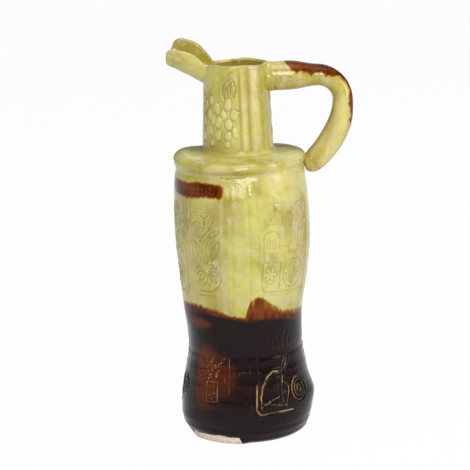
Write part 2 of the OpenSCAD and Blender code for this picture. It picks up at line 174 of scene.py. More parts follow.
# %% [markdown]
# ## Stamps
# The wall carries botanical stamps, pressed into the slab before it was bent. An image could hold them,
# but drawn lines stay sharp and need no file. A tile is the clay laid flat, in millimetres: a line lowers
# its face near the line, and a pad raises a pillow.

# %% Pens for drawing on flat clay
class Tile:
    """Clay laid flat: s runs across and z up, in millimetres, and height is how far the face rises."""

    def __init__(self, s, z):
        self.s, self.z = np.broadcast_arrays(s, z)
        self.height = np.zeros(self.s.shape)
        self.at(0, 0)

    def at(self, s, z, wide=1.0):
        """Sets the corner and the width scale of what is drawn next."""
        self.origin, self.scale = np.array([s, z], float), np.array([wide, 1.0])
        return self

    def near(self, points, margin):
        """Which places of the tile lie in the box round some points."""
        low, high = points.min(0) - margin, points.max(0) + margin
        return (self.s > low[0]) & (self.s < high[0]) & (self.z > low[1]) & (self.z < high[1])

    def line(self, points, width=0.7, depth=0.7):
        """Lowers the face by depth times a bell of the least distance to any straight piece of the line,
        and raises a lip of a third of that beside it."""
        points = np.asarray(points, float) * self.scale + self.origin
        near = self.near(points, 4 * width)
        place = np.stack([self.s[near], self.z[near]], -1)
        gap = np.full(len(place), np.inf)
        for a, b in zip(points[:-1], points[1:]):
            run = b - a
            along = np.clip((place - a) @ run / max(run @ run, 1e-9), 0, 1)
            gap = np.minimum(gap, np.linalg.norm(place - a - along[:, None] * run, axis=1))
        lip = 0.34 * np.exp(-((gap / width - 2) ** 2) * 1.8)
        self.height[near] += depth * (lip - np.exp(-((gap / width) ** 2)))

    def pad(self, centre, half, lean, rise=0.6):
        """Raises an oval pillow: rise times one minus the fourth power of the oval distance, with a groove
        round it."""
        centre, half = np.array(centre) * self.scale + self.origin, np.array(half, float)
        near = self.near(centre[None], 1.6 * max(half))
        s, z = self.s[near] - centre[0], self.z[near] - centre[1]
        c, n = math.cos(math.radians(lean)), math.sin(math.radians(lean))
        q = np.hypot((c * s + n * z) / half[0], (c * z - n * s) / half[1])
        self.height[near] += rise * np.clip(1 - q**4, 0, 1) - 0.45 * hump(q, 1.12, 0.16)


def bow(a, b, bulge, steps=9):
    """A line from a to b that bows to its left by bulge, as a parabola."""
    a, b = np.array(a, float), np.array(b, float)
    t = np.linspace(0, 1, steps)[:, None]
    left = np.array([a[1] - b[1], b[0] - a[0]]) / np.linalg.norm(b - a)
    return a + (b - a) * t + left * bulge * 4 * t * (1 - t)


def oval(centre, half, start=0, end=360, steps=24):
    """Part of an oval round a centre, between two angles."""
    a = np.radians(np.linspace(start, end, steps))
    return np.array(centre) + np.stack([half[0] * np.cos(a), half[1] * np.sin(a)], -1)


def leaf(tile, base, tip, fat, vein=0.7):
    """A leaf: two bows from base to tip, bulging to either side, and a vein along part of the middle."""
    base, tip = np.array(base, float), np.array(tip, float)
    tile.line(bow(base, tip, fat))
    tile.line(bow(base, tip, -fat))
    if vein:
        tile.line([base, base + (tip - base) * vein], 0.55, 0.5)


def rosette(tile, centre, radius, lobes):
    """A ring of lobes, each half an oval, round a small ring."""
    centre = np.array(centre, float)
    tile.line(oval(centre, (radius * 0.28,) * 2), 0.6)
    for k in range(lobes):
        a = 360 * k / lobes
        outward = np.array([math.cos(math.radians(a)), math.sin(math.radians(a))])
        middle = centre + 0.62 * radius * outward
        tile.line(oval(middle, (radius * 0.36,) * 2, a - 125, a + 125, 14))


def ridges(s, rows):
    """Sum of upright bells across a tile: each row gives a centre, a spread and a height."""
    return sum(height * hump(s, centre, spread) for centre, spread, height in rows)


print("pens for lines, pads, bows, ovals, leaves, rosettes and ridges are ready")

# %% [markdown]
# ### The upper row
# Each panel is drawn in its own corner, so it can be laid down more than once. The upper row has a sprig
# with a fan of leaves, and an arched window over a rosette. They are plain folk ornament, and they repeat
# round the back.

# %% Panels of the upper row
def sprig_panel(tile):
    """28 by 76 mm: strokes at the top, a bud on a bent stem, blade leaves, a fan of leaves and two ground
    lines."""
    for k in range(4):
        tile.line([(2 + 2 * k % 3, 74 - 2.6 * k), (17 - 1.5 * (k % 2), 74.2 - 2.6 * k)], 0.5, 0.4)
    tile.line(bow((9, 66), (12, 59), 2.6))
    tile.line(bow((15.5, 66), (12, 59), -2.6))
    tile.line(bow((9, 66), (15.5, 66), -1.6))
    tile.line(bow((1, 59), (9, 59.5), 1.8))
    tile.line(bow((2, 48), (20, 62), -3.2), 0.8)
    leaf(tile, (6, 45), (16, 51), 1.6)
    leaf(tile, (15, 49), (25, 55), 1.7)
    leaf(tile, (11, 28), (1, 46), 2.6)
    leaf(tile, (13, 28), (17, 50), 2.4)
    leaf(tile, (17, 30), (24, 46), 2.3)
    fan = np.array([12.5, 21])
    for turn, size in ((168, 11), (194, 11), (222, 12), (250, 12), (280, 12), (312, 12), (345, 10), (20, 9)):
        outward = np.array([math.cos(math.radians(turn)), math.sin(math.radians(turn))])
        leaf(tile, fan + 2 * outward, fan + size * outward, 1.6, 0.5)
    tile.line(oval((13, 16), (11.5, 11), -65, 25), 0.7)
    tile.line([(4, 4.5), (17, 4.7)])
    tile.line([(2, 1), (19, 1.4)])


def window_panel(tile):
    """47 by 78 mm: a barred window over a rosette, a divider, a heart of leaves and many curled tendrils."""
    tile.line([(1.5, 31), (1.5, 48)])
    tile.line(oval((8, 48), (6.5, 5.5), 180, 0))
    tile.line([(14.5, 48), (15, 30)], 0.6, 0.5)
    tile.line(bow((1.5, 31), (5, 28.5), -1))
    tile.line([(5, 28.5), (15.5, 28)])
    for k in range(4):
        tile.line([(6.6 + 2.1 * k, 30), (6.8 + 2.1 * k, 36)], 0.6, 0.65)
        tile.line([(3.6 + 2.3 * k, 39), (4.4 + 2.4 * k, 47 + k % 2)], 0.6, 0.6)
    rosette(tile, (7.2, 18.5), 6.2, 6)
    tile.line(oval((7.2, 18.5), (7.2, 7.6), 40, 320))
    tile.line([(0.4, 27), (0.5, 11)])
    tile.line(oval((5.5, 10), (5, 6), 180, 268))
    tile.line([(5, 4), (18, 3), (47, 1)])
    tile.line([(6, 1.4), (18, 0.6), (46, -1.2)], 0.6, 0.5)
    tile.line([(16.4, 4), (16.4, 28)])
    tile.line(bow((19.5, 18), (29, 29), 3.4))
    tile.line(bow((29, 29), (42, 17), 3.4))
    tile.line(bow((19.5, 18), (30, 5), -3.4))
    tile.line(bow((42, 17), (30, 5), 3.4))
    for k in range(-2, 3):
        leaf(tile, (30, 7.5), (30 + 4.4 * k, 22 - 2 * abs(k)), 1.3, 0.6)
    for k in range(26):
        s, z = 19 + 7.3 * k % 27, 33 + 11.9 * k % 39
        size = 1.5 + 0.37 * k % 1.3
        start = 137 * k
        tile.line(oval((s, z), (size, 1.2 * size), start, start + 190 + 23 * (k % 5), 14), 0.5, 0.6)
        if k % 2:
            tip = (s + 4 * math.cos(k), z + 5 * abs(math.sin(k)) + 1)
            tile.line(bow((s, z), tip, 0.9), 0.6, 0.6)
    for k in range(8):
        s, z = 3 + 5.3 * k % 12, 55 + 7.7 * k % 17
        tile.line(bow((s, z), (s + 3.5 * math.cos(2 * k), z + 4.5), 1.2), 0.5, 0.6)
    tile.line([(2, 75.5), (46, 74)], 0.6, 0.3)
    tile.line([(48, 0), (47.5, 76)], 0.8)


print("upper panels: sprig and window")

# %% [markdown]
# ### The lower row
# Under the waist the stamps are a small garden tile with slanting leaves, and a doorway with a reed and a
# scroll. They are cut deeper, because the thick brown glaze fills shallow lines.

# %% Panels of the lower row
def garden_panel(tile):
    """33 by 42 mm: slanting leaf strokes over a square tile with dots, and a tall line on the right."""
    places = (
        (-1, 27), (3, 32), (7, 28), (0, 20), (5, 22), (11, 33), (12, 26), (9, 19.5), (16, 29), (17, 22),
        (21, 33),
    )
    for k, (s, z) in enumerate(places):
        leaf(tile, (s, z), (s + 3.6 - k % 2, z + 5.2 - k % 3), 1.1, 0)
    tile.line([(8, 17), (18.5, 18), (19, 2), (8.5, 1), (8, 17)], 0.7)
    for s, z in ((11, 13), (15, 14), (11.5, 7), (15.5, 9), (13.5, 4.5)):
        tile.line(oval((s, z), (0.9, 0.9), steps=8), 0.5, 0.6)
    tile.line([(25, 22), (25.5, 17)], 0.6)
    tile.line([(29, 37), (29.2, 8)], 0.5, 0.75)


def doorway_panel(tile):
    """56 by 72 mm: two uprights, a frame, a domed doorway with floor lines, a reed, two bands and a scroll,
    and faint bows above."""
    tile.line([(-1.2, 42), (-2.9, 2)], 0.55, 0.5)
    tile.line([(0.6, 41), (-1.1, 2)], 0.55, 0.5)
    tile.line([(4.4, 28), (2.9, 8), (5.9, 4), (20, 4.8), (35, 4)], 0.8, 0.95)
    tile.line([(6.5, 27), (6.1, 16)], 0.6)
    dome = [(7, 9), (7.4, 18), (9, 26), (13.3, 33), (19.5, 37), (26.5, 36.4), (29.7, 36)]
    tile.line(dome, 0.75, 0.9)
    tile.line([(8.6, 12), (22.9, 16.5)], 0.6)
    tile.line([(8.6, 12), (20, 10.5), (31.8, 8.5)], 0.6)
    tile.line([(8, 10), (14, 13.5)], 0.5)
    leaf(tile, (28, 36), (37.8, 49.5), 1.7, 0.8)
    tile.line(bow((29.5, 35), (26.1, 12), -1.4), 0.7)
    tile.line(bow((33.1, 24), (27.9, 9), 1.0), 0.7)
    tile.line([(27, 28), (32, 25)], 0.55)
    tile.line([(26, 19), (30, 21)], 0.55)
    tile.line(oval((43.5, 19), (7.6, 9.4)), 0.75)
    tile.line(oval((44, 19), (5, 6.4), 60, 340), 0.7)
    tile.line(oval((44, 18.6), (2.4, 3.4), -100, 200, 16), 0.65)
    tile.line([(-0.6, 0), (15.7, -2)], 0.5, 0.5)
    for k in range(6):
        base, tip = (12 + 5.6 * k, 54 + 3 * (k % 2)), (16 + 5.4 * k, 70 - 4 * (k % 3))
        tile.line(bow(base, tip, 2.4), 1.0, 0.32)


print("lower panels: garden and doorway")

# %% [markdown]
# ### Laying the stamps down
# The tile of the wall is as wide as the slab before bending. Its columns are closer together in front,
# where the stamps are seen most. Each panel goes down at its corner, given across and up in millimetres.

# %% Lay the panels on the wall
WALL_FLAT_R = 52
SEAM, SEAM_R = 3.3 * MM, 50 * MM
body_columns, body_rows, bore_rows = 376, 232, 22
sweep = np.linspace(-1, 1, body_columns)
body_turn = (math.pi - SEAM / SEAM_R) * (0.86 * sweep + 0.14 * sweep**3)
body_z = np.linspace(BASE_T, WALL_TOP, body_rows)
body_tile = Tile(body_turn[:, None] * WALL_FLAT_R, body_z[None] / MM)
for s, z, wide in ((-43.5, 122, 1.0), (86, 122, 1.05), (-134, 123, 1.0)):
    sprig_panel(body_tile.at(s, z, wide))
for s in (14, -102):
    window_panel(body_tile.at(s, 121))
for s, z in ((-44, 34), (84, 36)):
    garden_panel(body_tile.at(s, z))
for s, z in ((4, 22), (-112, 24)):
    doorway_panel(body_tile.at(s, z))
for s in (-14.8, -17.6, 67):
    body_tile.line([(s, 124), (s, 199)], 0.7, 0.6)
print(f"body tile: {body_tile.height.min():.2f} to {body_tile.height.max():.2f} mm")

# %% [markdown]
# ## The body wall
# One slab, bent into a tube, with its ends cut to a V at the back. The profile runs up the outside and
# down the inside, and is carried round from one end to the other. Fine rows and columns hold the stamps.
# Faint upright flutes in front are joins of the stamps. The brown glaze is told by two numbers: how far a
# place is inside it, in millimetres, and how thin it lies.

# %% Dip the wall
THICK_EDGE = np.array([
    (-180, 106), (-128, 110), (-66, 107), (-37, 109), (-16, 106), (3, 103), (23, 103), (48, 100), (65, 97),
    (110, 99), (180, 106),
])
THIN_EDGE = np.array([
    (-180, 109), (-128, 118), (-90, 110), (-66, 112), (-50, 114), (-26, 112), (-16, 108), (-6, 106),
    (2, 105), (6, 118.5), (12, 121), (17, 120.5), (28, 114), (41, 107), (75, 103), (110, 105), (140, 113),
    (180, 109),
])
THICK_DEPTH = 2.5
STAINS = (
    (1, -42, 15, 56, 27), (0.5, -17, 11, 56, 17), (0.9, -47, 15, 99, 4.5), (0.6, 120, 30, 50, 25),
    (0.5, -120, 25, 70, 22),
)


def glaze_line(degrees):
    """Heights in millimetres at a turn: where the brown glaze lies thick, and the higher line that it thinly
    reaches."""
    thick = np.interp(degrees, *THICK_EDGE.T)
    run = np.interp(degrees, *THIN_EDGE.T)
    return thick, np.maximum(run, thick + 1.2)


def brown_depth(turn, z):
    """Millimetres inside the brown glaze: 0 at the upper line, THICK_DEPTH where it gets thick, then growing
    downward. The patch under the shoulder is a rounded bar with a depth of its own, deeper to the left."""
    h, a = z / MM, np.degrees(turn)
    thick, run = glaze_line(a)
    fringe = THICK_DEPTH * (run - h) / (run - thick)
    dipped = np.where(h < thick, thick - h + THICK_DEPTH, np.where(h < run, fringe, run - h))
    middle = 207.6 + 0.8 * np.sin(a / 7)
    above = np.maximum(np.abs(h - middle) - 2.4, 0)
    aside = np.maximum(np.abs(a + 58) - 38.5, 0) * 0.9
    patch = 3.3 + 0.5 * np.sin(a / 11) - np.hypot(above, aside)
    return np.maximum(dipped, np.minimum(patch, 1.5 + 1.6 * ease((-44 - a) / 26)))


def brown_thinness(turn, z):
    """Share from 0 to 1 of how thin the brown glaze lies: bells round the stains, each given by its
    strength, its turn and width in degrees, and its level and height in millimetres."""
    h, a = z / MM, np.degrees(turn)
    thin = sum(most * hump(a, side, wide) * hump(h, level, tall) for most, side, wide, level, tall in STAINS)
    return np.clip(thin, 0, 1)


def wiped_height(turn):
    """Height in millimetres up to which the glaze was wiped off the foot: a strip at the front left."""
    strip = 8.2 * ease((29 - np.abs(np.degrees(turn) + 34)) / 4) - 1.5
    return strip + 0.4 * np.sin(9 * turn) + 0.3 * np.sin(23 * turn)


print("brown glaze reaches", [round(float(v), 1) for v in glaze_line(0)], "mm in front")

# %% [markdown]
# The slab is bent with its stamps and flutes pressed in. The marks for the glazes go round with it: the
# relief, the depth and the thinness of the brown glaze, and how far a place lies under the wiped edge.

# %% Bend the wall
BORE_R = 45 * MM
BARE_EDGE = 5
FLUTES = ((4.5, 1.1, -0.35), (7.8, 2.0, 0.45), (11.2, 1.1, -0.35), (-11.5, 1.2, 0.25), (-7, 1.5, 0.2))
flutes = ridges(body_tile.s, FLUTES)
fade = np.clip((body_tile.z - 14) / 10, 0, 1) * np.clip((214 - body_tile.z) / 10, 0, 1)
body_stamp = np.clip(body_tile.height, -0.95, 0.8) * fade
body_relief = body_stamp + flutes * fade
bore_z = np.linspace(WALL_TOP, BASE_T, bore_rows)
bore_turn = (math.pi - 1.4 * MM / BORE_R) * sweep[:, None]
body_turn = body_turn[:, None]
outside = round_axis(wall_radius(body_turn, body_z) + body_relief * MM, body_turn, body_z)
inside = round_axis(wall_radius(bore_turn, bore_z) - WALL_T, bore_turn, bore_z)
blank = np.zeros((body_columns, bore_rows))
body_bare = np.maximum(wiped_height(body_turn) - body_z / MM + BARE_EDGE, 0)
skin(
    "clay_wall", "body_wall", np.concatenate([outside, inside], 1),
    relief=np.hstack([body_stamp, blank]),
    brown=np.hstack([brown_depth(body_turn, body_z), glaze_line(0)[0] - blank - bore_z / MM]),
    thin=np.hstack([brown_thinness(body_turn, body_z), blank]),
    bare=np.hstack([body_bare, blank]),
)

# %% [markdown]
# ## The seam strip
# A strip of soft clay fills the V between the slab's two ends. It stands a little proud, with finger
# marks at even steps, because it was pressed in from outside.

# %% Fill the seam at the back
ALL_BROWN = 20.0
STRIP_COLUMNS = 13
across = np.linspace(-1, 1, STRIP_COLUMNS)[:, None]
strip_z = np.linspace(BASE_T, WALL_TOP, 150)
strip_turn = math.pi + across * (SEAM + 0.5 * MM) / SEAM_R
strip_rise = (0.9 - 0.25 * np.cos(strip_z / (5.5 * MM))) * (1 - across**2) - 0.35
strip_side = strip_turn - 2 * math.pi * (across > 0)
strip_face = round_axis(wall_radius(strip_side, strip_z) + strip_rise * MM, strip_turn, strip_z)
strip_back_turn = math.pi + across * 1.7 * MM / BORE_R
strip_back = round_axis(wall_radius(math.pi, bore_z) - WALL_T, strip_back_turn, bore_z)
strip_blank = np.zeros((STRIP_COLUMNS, bore_rows))
strip_brown = brown_depth(math.pi + 0 * across, strip_z)
skin(
    "clay_wall_seam", "body_seam_strip", np.concatenate([strip_face, strip_back], 1),
    relief=np.hstack([strip_rise - 0.3, strip_blank]),
    brown=np.hstack([strip_brown, strip_blank + ALL_BROWN]),
)

# %% [markdown]
# ## The base
# A plain disc, cut from a slab. Its edge follows the tuck of the wall. The glaze was wiped off the
# underside and off part of the edge, where the pale clay shows.

# %% Cut the base slab
ring_turn = np.linspace(-math.pi, math.pi, 240, endpoint=False)[:, None]
edge_z = BASE_T * np.sin(np.linspace(0, math.pi / 2, 14))
upright = ease((38 - np.abs(np.degrees(ring_turn) + 34)) / 14)
steep_r = wall_radius(ring_turn, BASE_T) - 2.2 * MM * (1 - edge_z / BASE_T) ** 2
worn = 0.8 * MM * (1 - np.clip(edge_z / (1.2 * MM), 0, 1)) ** 2
edge_r = wall_radius(ring_turn, edge_z) * (1 - upright) + steep_r * upright - worn
flat_share = np.array([0.002, 0.25, 0.5, 0.75, 0.9, 0.97])
under = edge_r[:, :1] * flat_share
upper = edge_r[:, -1:] * flat_share[::-1]
base_r = np.hstack([under, edge_r, upper])
base_z = np.concatenate([0 * flat_share, edge_z, BASE_T + 0 * flat_share])
edge_bare = wiped_height(ring_turn) - edge_z / MM
base_bare = np.hstack([np.full_like(under, BARE_EDGE), edge_bare, np.full_like(upper, -BARE_EDGE)])
skin(
    "clay_base", "base_slab", round_axis(base_r, ring_turn, base_z), ring=True,
    brown=ALL_BROWN, bare=np.maximum(base_bare + BARE_EDGE, 0),
    thin=0.35 * hump(np.degrees(ring_turn), 50, 30),
)

# %% [markdown]
# ## The shoulder
# A thicker disc with a rounded edge and a slight rise to the neck. The profile goes out along the
# underside, round the edge, up the slope and back down the hole. Its edge wanders in and out, as a
# hand-pressed edge does.

# %% Press the shoulder
SHOULDER_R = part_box("shoulder_slab")[1].x
SHOULDER_T = 7 * MM
HOLE_R = 24 * MM
NECK_FOOT_R = 28.5 * MM
SHELF_R = 46 * MM
SMEAR = 4 * MM
NO_BROWN = -12.0
half_t = SHOULDER_T / 2
smear = np.linspace(0, 1, 16)
smear_z = WALL_TOP - SMEAR + (SMEAR + half_t) * smear
round_edge = np.radians(np.linspace(0, 90, 14)[1:])
slope = np.linspace(0, 1, 16)[1:]
edge_mid = SHOULDER_R - half_t
tucked = wall_radius(ring_turn, smear_z) - 0.4 * MM
angle = np.degrees(ring_turn)
wander = 0.6 * np.sin(2 * ring_turn + 2.2) + 0.4 * np.sin(5 * ring_turn + 1) + 0.25 * np.sin(9 * ring_turn)
top_r = np.concatenate([
    edge_mid + half_t * np.cos(round_edge),
    edge_mid + (NECK_FOOT_R + 3 * MM - edge_mid) * slope,
])
top_z = np.concatenate([
    WALL_TOP + half_t + half_t * np.sin(round_edge),
    WALL_TOP + SHOULDER_T + (SEAT - WALL_TOP - SHOULDER_T) * (0.35 * slope + 0.65 * slope**1.8),
])
outer_share = ease((top_r - NECK_FOOT_R) / (SHELF_R - NECK_FOOT_R))
outer_share = outer_share * (1 - 0.45 * ease((top_r - SHELF_R) / (7 * MM)))
lift = 4.0 * hump(angle, -95, 48) + 2.8 * hump(angle, 92, 42) + 0.4 * np.sin(3 * ring_turn + 0.5)
hidden_r = np.array([HOLE_R, HOLE_R + 12 * MM, 47.5 * MM, 49 * MM]) + 0 * ring_turn
hidden_z = np.array([WALL_TOP, WALL_TOP, WALL_TOP, WALL_TOP - SMEAR]) + 0 * ring_turn
smear_r = tucked + (SHOULDER_R + wander * MM - tucked) * ease(smear) ** 1.3
hole = 0 * ring_turn
shoulder_r = np.hstack([hidden_r, smear_r, top_r + wander * outer_share * MM, HOLE_R + hole])
shoulder_z = np.hstack([
    hidden_z, smear_z + 0.55 * lift * MM * smear**2, top_z + lift * outer_share * MM, SEAT + hole,
])
on_top = shoulder_z > WALL_TOP + half_t
round_neck = 0.3 * hump(shoulder_r / MM, 31, 3) * (1 + np.sin(2 * ring_turn + 1)) * on_top
in_crease = 0.25 * hump(shoulder_z / MM, WALL_TOP / MM, 1.5) * (shoulder_r > BORE_R)
skin(
    "clay_shoulder", "shoulder_slab", round_axis(shoulder_r, ring_turn, shoulder_z), ring=True,
    pool=round_neck + in_crease,
    brown=np.where(shoulder_z < WALL_TOP + half_t, brown_depth(ring_turn, shoulder_z), NO_BROWN),
)

# %% [markdown]
# ## The neck
# The second rolled slab. Its rim is rounded over, and a notch takes the spout. The notch is the underside
# of the trough: a level that falls by a half circle across the trough and rises along it. Each column of
# points ends at that level instead of the rim.

# %% Shape the neck's cone and rim
NECK_T = 4.5 * MM
RIM_R = 25.5 * MM
TROUGH_R, TROUGH_SLOPE, TROUGH_TURN = 14 * MM, math.radians(28), math.radians(5)
TROUGH_AXIS = (19.6 * MM, 298.9 * MM)
NOTCH_R = TROUGH_R - 1.2 * MM
spout_turn = -math.pi / 2 - TROUGH_TURN


def rim_level(turn, radius):
    """Top of the neck at a turn: the rim, or the underside of the trough where that is lower."""
    from_spout = turn - spout_turn
    aside = np.clip(np.abs(radius * np.sin(from_spout)) / NOTCH_R, 0, 1)
    underside = TROUGH_AXIS[1] + (radius - TROUGH_AXIS[0]) * math.tan(TROUGH_SLOPE)
    underside = underside - NOTCH_R * np.sqrt(1 - aside**2) / math.cos(TROUGH_SLOPE)
    wavy = RIM + MM * (0.5 * np.sin(2 * turn + 2.6) + 0.3 * np.sin(5 * turn))
    return np.where((np.cos(from_spout) > 0) & (aside < 1), np.minimum(underside, wavy), wavy)


def neck_radius(turn, share):
    """Outer radius: a cone from foot to rim, with slow waves and a soft flare at the very top."""
    waves = 0.35 * np.sin(2 * turn + 3 * share) + 0.25 * np.sin(3 * turn + 1 - 4 * share)
    return NECK_FOOT_R + (RIM_R - NECK_FOOT_R) * share + MM * (waves + 0.3 * share**6)


print(f"rim at {rim_level(0.0, RIM_R):.4f} m in front, {rim_level(spout_turn, RIM_R):.4f} m under the spout")

# %% [markdown]
# A vine with a folded leaf and a bunch of fruit is pressed into the neck three times. Each fruit is a pad
# that stands proud. Upright bands beside it are shallow ridges, and the glaze pools in some of them.

# %% Roll the neck
NECK_FLAT_R = 27
NECK_FLUTES = (
    (5.4, 2.0, 0.3), (9.3, 1.8, -0.4), (13.2, 2.2, 0.3), (17.5, 2.2, 0.25), (-40, 3, 0.3), (34, 3, -0.3),
)
NECK_BANDS = ((2, 1.3, 0.5), (9.3, 2, 0.6), (21.5, 1.6, 0.4), (28, 2.2, 0.45), (36, 2, 0.5))
RIM_POOL, BORE_POOL = 0.15, 0.85
neck_columns, neck_rows, over_rows, down_rows = 330, 112, 11, 18


def vine_panel(tile):
    """A folded leaf over a bunch of fruit, between a plain field and an upright border."""
    tile.line(bow((-10, 41), (-4, 57), 4.6), 0.8, 0.7)
    tile.line(bow((-4, 57), (-3, 42), 2.4), 0.8, 0.7)
    for s, low, high in ((-9.6, 44, 51), (-7.4, 44, 53.5), (-5, 44, 55), (-3, 44, 52)):
        tile.line(bow((s, low), (s + 1.2, high), 0.6), 0.6, 0.6)
    fruit = (
        (-7.6, 36.5, 3.0, 5.0), (-2.8, 28.5, 3.2, 4.4), (-17.2, 33.5, 2.9, 4.8), (-16.3, 22.5, 3.0, 4.8),
        (-7.5, 20.5, 3.0, 4.4), (-24.6, 15.5, 2.6, 4.6), (-8, 12, 2.8, 4.0), (-25, 28.5, 2.6, 4.8),
        (-32, 23.5, 2.4, 4.8), (-9, 5, 2.6, 3.0), (-16.5, 12, 2.8, 4.4), (-11.6, 28.5, 2.3, 4.4),
        (-21, 24.5, 2.2, 4.6), (-29, 36, 2.3, 4.8), (-33, 10, 2.4, 4.4), (-23, 6, 2.5, 3.4),
        (-22.5, 40, 2.2, 4.0), (-2.4, 14, 2.2, 4.6), (-34, 40, 2.2, 4.4),
    )
    for k, (s, z, wide, tall) in enumerate(fruit):
        tile.pad((s, z), (wide, tall), 12 * (k % 3 - 1))
    tile.line(bow((-1.4, 33), (1.6, 31.5), -0.8), 0.6)
    tile.line([(2.4, 1), (1.8, 60)], 1.1, 0.45)


neck_turn = (math.pi - 3.2 / NECK_FLAT_R) * np.linspace(-1, 1, neck_columns)[:, None]
neck_share = np.linspace(0, 1, neck_rows)
rim_r = neck_radius(neck_turn, 1.0)
neck_top = rim_level(neck_turn, rim_r)
inner_top = rim_level(neck_turn, rim_r - NECK_T)
lip = 1.9 * MM
neck_z = SEAT + neck_share * (neck_top - lip - SEAT)
neck_tile = Tile(neck_turn * NECK_FLAT_R, (neck_z - SEAT) / MM)
for s, z in ((0, 4), (72, 6), (-58, 6)):
    vine_panel(neck_tile.at(s, z))
neck_tile.height += ridges(neck_tile.s, NECK_FLUTES)
neck_fade = np.clip(neck_tile.z / 6, 0, 1) * np.clip((66 - neck_tile.z) / 6, 0, 1)
neck_relief = np.clip(neck_tile.height, -0.8, 0.8) * neck_fade
over = np.linspace(0, math.pi, over_rows + 2)[1:-1]
rim_fall = (inner_top - neck_top) * (1 - np.cos(over)) / 2
rim_over_r = rim_r - NECK_T / 2 + NECK_T / 2 * np.cos(over)
rim_over_z = neck_top - lip + lip * np.sin(over) ** 0.8 + rim_fall
down = np.linspace(1, 0, down_rows)
neck_bore_z = SEAT + down * (inner_top - lip - SEAT)
neck_bore_r = neck_radius(neck_turn, (neck_bore_z - SEAT) / (RIM - SEAT)) - NECK_T
neck_outer_r = neck_radius(neck_turn, (neck_z - SEAT) / (RIM - SEAT)) + neck_relief * MM
neck_grid = np.concatenate([
    round_axis(neck_outer_r, neck_turn, neck_z),
    round_axis(rim_over_r, neck_turn, rim_over_z),
    round_axis(neck_bore_r, neck_turn, neck_bore_z),
], 1)
rim_blank, bore_blank = np.zeros((neck_columns, over_rows)), np.zeros((neck_columns, down_rows))
foot_pool = 0.7 * hump(neck_tile.z, 4, 9) * hump(np.degrees(neck_turn), -48, 30)
neck_pool = foot_pool + ridges(neck_tile.s, NECK_BANDS)
skin(
    "clay_neck", "neck_wall", neck_grid,
    relief=np.hstack([neck_relief, rim_blank, bore_blank]),
    pool=np.hstack([neck_pool, rim_blank + RIM_POOL, bore_blank + BORE_POOL]),
    brown=NO_BROWN,
)

# %% [markdown]
# Behind, the neck has a seam strip of its own, and round its foot a thin coil is smoothed into the
# corner.

# %% Neck seam and neck coil
seam_z = SEAT + np.linspace(0, 1, 70) * (RIM - lip - SEAT)
seam_share = (seam_z - SEAT) / (RIM - SEAT)
seam_turn = math.pi + across * 3.7 / NECK_FLAT_R
seam_rise = (0.8 - 0.2 * np.cos(seam_z / (4.5 * MM))) * (1 - across**2) - 0.3
seam_over_r = RIM_R - NECK_T / 2 + NECK_T / 2 * np.cos(over)
seam_bore_z = SEAT + down * (RIM - lip - SEAT)
seam_bore_r = neck_radius(math.pi, (seam_bore_z - SEAT) / (RIM - SEAT)) - NECK_T
seam_grid = np.concatenate([
    round_axis(neck_radius(math.pi, seam_share) + seam_rise * MM, seam_turn, seam_z),
    round_axis(seam_over_r, seam_turn, RIM - lip + lip * np.sin(over) ** 0.8),
    round_axis(seam_bore_r, math.pi + across * 1.6 / 22, seam_bore_z),
], 1)
seam_pool = np.hstack([0 * seam_rise, np.full((STRIP_COLUMNS, over_rows + down_rows), BORE_POOL)])
skin("clay_neck_seam", "neck_seam_strip", seam_grid, brown=NO_BROWN, pool=seam_pool)

COIL = 3 * MM
hollow = np.linspace(0, math.pi / 2, 12)
coil_back, coil_low = NECK_FOOT_R - 1 * MM, SEAT - 0.1 * MM
coil_r = np.concatenate([NECK_FOOT_R + COIL * (1.25 - 1.25 * np.sin(hollow)), [coil_back, coil_back]])
coil_z = np.concatenate([coil_low + COIL * (1.1 - 1.1 * np.cos(hollow)), [SEAT + COIL, coil_low]])
coil_wave = 0.25 * np.sin(4 * ring_turn) + 0.2 * np.sin(7 * ring_turn + 1) + 0.35 * np.sin(2 * ring_turn)
skin(
    "clay_neck_coil", "neck_coil", round_axis(coil_r + coil_wave * MM, ring_turn, coil_z), ring=True,
    pool=0.12 + 0.3 * hump(np.degrees(ring_turn), -48, 30), brown=NO_BROWN,
)

# %% [markdown]
# ## The spout
# An open trough, bent up from a small slab and let into the neck. Its middle sheet is a half pipe with
# straight sides, measured from the bottom along the bend, and both edges and the lip are rounded, so the
# half thickness falls to nothing there along a quarter circle. The far side is taller than the near one.

# %% Bend the spout
SHEET = 1.75 * MM
PIPE_R = TROUGH_R - SHEET
QUARTER = PIPE_R * math.pi / 2
spout_rows, spout_cols = 90, 110
q_along = np.sin(np.linspace(-math.pi / 2, math.pi / 2, spout_rows))[:, None] / 2 + 0.5
q_across = np.sin(np.linspace(-math.pi / 2, math.pi / 2, spout_cols))[None]
near_side = q_across > 0
aside = np.abs(q_across)
lip_at = (33 + np.where(near_side, 4.5, 5.0) * aside**1.5 - np.where(near_side, 3.0, 6.5) * aside**9) * MM


def side_height(share, near):
    """Height of a side over the pipe's axis: from its height at the neck to that at the lip, with a bulge
    between."""
    at_neck, at_lip = np.where(near, -3.5, 1.7), np.where(near, -0.6, 8.2)
    bulge = np.where(near, 6.2, 5.0)
    between = bulge * np.sin(math.pi * np.clip(share, 0, 1) ** 0.9)
    return MM * (at_neck + (at_lip - at_neck) * share + between)


